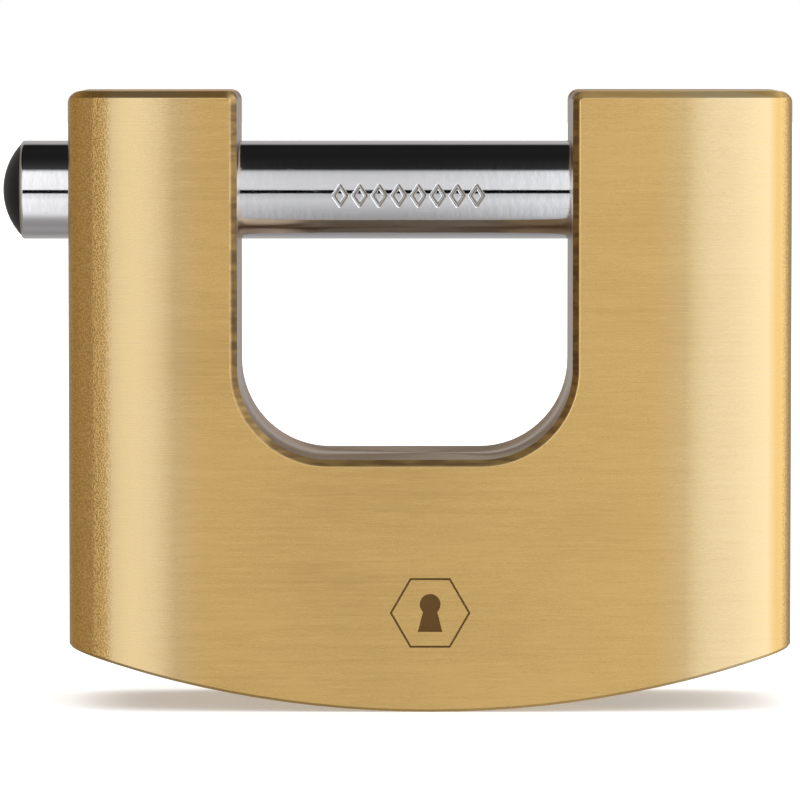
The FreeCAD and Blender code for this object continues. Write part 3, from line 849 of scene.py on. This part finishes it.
class PADLOCK_OT_bolt(bpy.types.Operator):
    """Make the chromed bolt, with its groove, its notch and the stamped row"""

    bl_idname = "padlock.bolt"
    bl_label = "Chromed bolt"

    def execute(self, context):
        p = context.scene.padlock_bolt
        material = chromed_steel(context.scene)
        left, right, r = BOLT_LOW.x, BOLT_HIGH.x, BOLT_RADIUS
        solid = self.bar(p, left, right, r)
        outside = 2 * MM
        floor = r - p.groove_depth
        groove = self.slot_cutter(p.groove_start, p.groove_end, p.groove_half, floor, r + outside)
        notch = box_mesh((CYLINDER_X - p.notch_half, -r - outside, -r - outside),
                         (CYLINDER_X + p.notch_half, r + outside, -p.notch_ceiling))
        way_out = box_mesh((CYLINDER_X, p.way_out, -r - outside),
                           (right + outside, r + outside, -p.notch_ceiling))
        ends = (left - outside, left + p.stem_hole_depth)
        hole = lathe([(ends[0], 0.0), (ends[0], p.stem_hole), (ends[1], p.stem_hole), (ends[1], 0.0)],
                     even_turns(64))
        mesh = stamped(p, carve(solid, "chromed_bolt", [groove, notch, way_out, hole]), material)
        finish_mesh(mesh, material, 40)
        piece("chromed_bolt", round_normals(mesh, r), "bolt_assembly", "chromed_steel", "bolt")
        return {"FINISHED"}

    @staticmethod
    def bar(p, left, right, r):
        """Round bar with its ends broken, and a fine mesh where the row is stamped."""
        half_row = p.stamp_pitch * p.stamp_count / 2
        steps = p.fine_steps
        stretch = [p.stamp_shift - half_row + 2 * half_row * k / steps for k in range(steps + 1)]
        profile = [(left, 0.0)] + arc_points(left + p.rim, r - p.rim, p.rim, 180, 90, 8)
        profile += [(at, r) for at in (left / 2, *stretch, right / 2, right - p.nose)]
        profile += [(right, r - p.nose), (right, 0.0)]
        reach = math.asin((p.stamp_height / 2 + p.stamp_drop + p.stamp_line * 2) / r)
        fine = [math.pi - reach + 2 * reach * k / p.fine_turns for k in range(p.fine_turns + 1)]
        gap = (2 * math.pi - 2 * reach) / p.coarse_turns
        coarse = [math.pi + reach + gap * k for k in range(1, p.coarse_turns)]
        return lathe(profile, fine + coarse)

    @staticmethod
    def slot_cutter(start, end, half, floor, top):
        """Round-ended bar that cuts the guide groove from behind."""
        bm = bmesh.new()
        outline = []
        for centre, first in ((end, -90), (start, 90)):
            for k in range(17):
                turn = math.radians(first + 180 * k / 16)
                outline.append((centre + half * math.cos(turn), half * math.sin(turn)))
        lower = [bm.verts.new((x, floor, z)) for x, z in outline]
        upper = [bm.verts.new((x, top, z)) for x, z in outline]
        bm.faces.new(lower)
        bm.faces.new(upper)
        for k in range(len(outline)):
            n = (k + 1) % len(outline)
            bm.faces.new([lower[k], lower[n], upper[n], upper[k]])
        bmesh.ops.recalc_face_normals(bm, faces=bm.faces)
        return bm


class PADLOCK_OT_cap(bpy.types.Operator):
    """Make the domed nylon cap on the bolt's left end"""

    bl_idname = "padlock.cap"
    bl_label = "End cap"

    def execute(self, context):
        p = context.scene.padlock_small
        low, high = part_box("bolt_cap")
        r, foot = (high.z - low.z) / 2, BOLT_LOW.x
        height = foot - low.x
        ball = (r * r + height * height) / (2 * height)
        half_angle = math.degrees(math.asin(r / ball))
        dome = arc_points(low.x + ball, 0.0, ball, 180, 180 - half_angle, 26)
        dome = [(a, max(b, 0.0)) for a, b in dome]
        dome[0] = (low.x, 0.0)
        profile = dome + [(foot, p.cap_stem), (high.x, p.cap_stem), (high.x, 0.0)]
        mesh = mesh_from(lathe(profile, even_turns(128)), "nylon_cap")
        finish_mesh(mesh, black_nylon(context.scene))
        piece("nylon_cap", mesh, "bolt_assembly", "black_nylon", "bolt_cap")
        return {"FINISHED"}


class PADLOCK_OT_cylinder(bpy.types.Operator):
    """Finish the plug and the cam"""

    bl_idname = "padlock.cylinder"
    bl_label = "Plug and cam"

    def execute(self, context):
        p = context.scene.padlock_small
        axis = (CYLINDER_X, 0, 0)
        paint(turned_metal("turned_brass", p.turned_brass, 0.82, "Z", axis, 0.27), "plug")
        paint(turned_metal("plated_steel", p.plating, 0.8, "Z", axis, 0.38, 5000), "cam")
        return {"FINISHED"}


class PADLOCK_OT_pins(bpy.types.Operator):
    """Finish the key pins, the drivers and the two dowels"""

    bl_idname = "padlock.pins"
    bl_label = "Pins and dowels"

    def execute(self, context):
        p = context.scene.padlock_small
        for node in numbered("key_pin"):
            centre = (0, 0, middle(node).z)
            paint(turned_metal("pin_brass", p.turned_brass, 0.8, "X", centre, 0.25, 12000), node)
        for node in numbered("driver_pin"):
            centre = (0, 0, middle(node).z)
            paint(turned_metal("pin_steel", p.steel, 0.8, "X", centre, 0.28, 12000), node)
        for node in ("guide_pin", "plug_retainer"):
            centre = (middle(node).x, 0, middle(node).z)
            paint(turned_metal("dowel_steel", p.steel, 0.8, "X", centre, 0.34, 7000), node)
        return {"FINISHED"}


class PADLOCK_OT_springs(bpy.types.Operator):
    """Make the five pin springs"""

    bl_idname = "padlock.springs"
    bl_label = "Pin springs"

    def execute(self, context):
        p = context.scene.padlock_small
        nodes = numbered("pin_spring")
        material = turned_metal("spring_wire", p.steel, 0.85, "X", (0, 0, 0), 0.26, 15000)
        wire = p.wire / 2
        reach = size(nodes[0]).x
        mesh = finish_mesh(coil(p, reach - 2 * wire, size(nodes[0]).y / 2 - wire, material), material, 40)
        for node in nodes:
            low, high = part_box(node)
            placed = mesh.copy()
            placed.transform(Matrix.Translation((low.x + wire, middle(node).y, middle(node).z)))
            number = node[len("pin_spring_"):]
            spring = piece(f"spring_{number}", placed, "housing", "spring_wire", node)
            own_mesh(spring)
        return {"FINISHED"}


class PADLOCK_OT_seals(bpy.types.Operator):
    """Make the five brass plugs that close the pin chambers"""

    bl_idname = "padlock.seals"
    bl_label = "Sealing plugs"

    def execute(self, context):
        p = context.scene.padlock_small
        nodes = numbered("sealing_plug")
        centre = (0, 0, middle(nodes[len(nodes) // 2]).z)
        material = turned_metal("sealing_brass", p.turned_brass, 0.8, "X", centre, 0.3, 6000)
        plug_size = size(nodes[0])
        mesh = sealing_row(p, [middle(n) for n in nodes], plug_size.y / 2, plug_size.x, material)
        finish_mesh(mesh, material)
        piece("sealing_plugs", mesh, "housing", "turned_brass", *nodes)
        return {"FINISHED"}


class PADLOCK_OT_stage(bpy.types.Operator):
    """Set up the floor, the soft light round the padlock and the camera"""

    bl_idname = "padlock.stage"
    bl_label = "Studio"

    def execute(self, context):
        scene = context.scene
        p = scene.padlock_stage
        self.floor(p)
        self.world(scene, p)
        self.lamp(p)
        self.camera(scene, p)
        scene.view_settings.view_transform = "Standard"
        return {"FINISHED"}

    @staticmethod
    def floor(p):
        bm = bmesh.new()
        bmesh.ops.create_grid(bm, x_segments=1, y_segments=1, size=p.floor_reach,
                              matrix=Matrix.Translation((0, 0, CAD_BOX[0][2])))
        made = bpy.data.objects.new("floor", mesh_from(bm, "floor"))
        bpy.context.scene.collection.objects.link(made)
        material, g = new_material("pale_floor")
        surface(g, base_color=rgba(p.floor), roughness=0.9, specular_ior_level=0.1,
                emission_color=(1, 1, 1, 1), emission_strength=p.floor_glow)
        made.data.materials.append(material)
        made.visible_glossy = False

    @staticmethod
    def world(scene, p):
        """Soft panels in front and to the right, a narrow one to the left, and nothing overhead.

        The camera sees plain white instead. Angles are in degrees."""
        world = bpy.data.worlds.new("studio")
        world.use_nodes = True
        scene.world = world
        g = Graph(world.node_tree)
        x, y, z = g.xyz(g.node("ShaderNodeTexCoord", output="Generated"))
        azimuth = x.maths("ARCTAN2", -y) * math.degrees(1)
        height = z.maths("ARCSINE") * math.degrees(1)
        across = g.blend(abs(height).ramp(55, 80), g.follow(azimuth, ROOM_ACROSS), ROOM_POLES)
        upright = g.follow(height, ROOM_UPRIGHT)
        in_front = azimuth.ramp(-12, -6) * azimuth.ramp(22, 12)
        slit = 1.0 - in_front * abs(height + math.degrees(p.slit_below)).ramp(5.5, 3.0)
        room = g.node("ShaderNodeBackground", {}, {
            "Color": across, "Strength": upright * slit * (p.room_light * ROOM_SCALE)})
        white = g.node("ShaderNodeBackground", {}, {"Color": (1, 1, 1, 1), "Strength": 1.0})
        seen = g.node("ShaderNodeLightPath", output="Is Camera Ray")
        both = g.node("ShaderNodeMixShader", {}, {0: seen, 1: room, 2: white})
        g.node("ShaderNodeOutputWorld", {}, {"Surface": both}, output=None)

    @staticmethod
    def lamp(p):
        """Soft light from above for the floor, which bright metal doesn't mirror."""
        data = bpy.data.lights.new("overhead", "SUN")
        data.angle, data.energy = p.floor_light_spread, p.floor_light
        made = bpy.data.objects.new("overhead", data)
        made.visible_glossy = False
        bpy.context.scene.collection.objects.link(made)

    @staticmethod
    def camera(scene, p):
        data = bpy.data.cameras.new("camera")
        data.lens = p.lens
        data.sensor_width = 36.0
        data.clip_start = 0.01
        made = bpy.data.objects.new("camera", data)
        low, high = (Vector(c) for c in CAD_BOX)
        target = Vector(((low.x + high.x) / 2 + p.aim_right, low.y, (low.z + high.z) / 2 + p.aim_up))
        back = Vector((0, -math.cos(p.camera_height), math.sin(p.camera_height)))
        made.location = target + back * p.camera_distance
        made.rotation_euler = (-back).to_track_quat("-Z", "Y").to_euler()
        scene.collection.objects.link(made)
        scene.camera = made


class PADLOCK_PT_pieces(bpy.types.Panel):
    """Lists the padlock's pieces"""

    bl_idname = "PADLOCK_PT_pieces"
    bl_label = "Shutter padlock"
    bl_space_type = "VIEW_3D"
    bl_region_type = "UI"
    bl_category = "Padlock"

    def draw(self, context):
        for operator in OPERATORS:
            self.layout.operator(operator.bl_idname)
        for name, group in GROUPS.items():
            box = self.layout.box()
            for key in group.__annotations__:
                box.prop(getattr(context.scene, name), key)


OPERATORS = (
    PADLOCK_OT_block,
    PADLOCK_OT_bolt,
    PADLOCK_OT_cap,
    PADLOCK_OT_cylinder,
    PADLOCK_OT_pins,
    PADLOCK_OT_springs,
    PADLOCK_OT_seals,
    PADLOCK_OT_stage,
)
CLASSES = (*GROUPS.values(), *OPERATORS, PADLOCK_PT_pieces)


def register():
    for cls in CLASSES:
        bpy.utils.register_class(cls)
    for name, group in GROUPS.items():
        setattr(bpy.types.Scene, name, PointerProperty(type=group))


def unregister():
    for name in GROUPS:
        delattr(bpy.types.Scene, name)
    for cls in reversed(CLASSES):
        bpy.utils.unregister_class(cls)


def main():
    register()
    for operator in OPERATORS:
        group, name = operator.bl_idname.split(".")
        getattr(getattr(bpy.ops, group), name)()


if __name__ == "__main__":
    main()
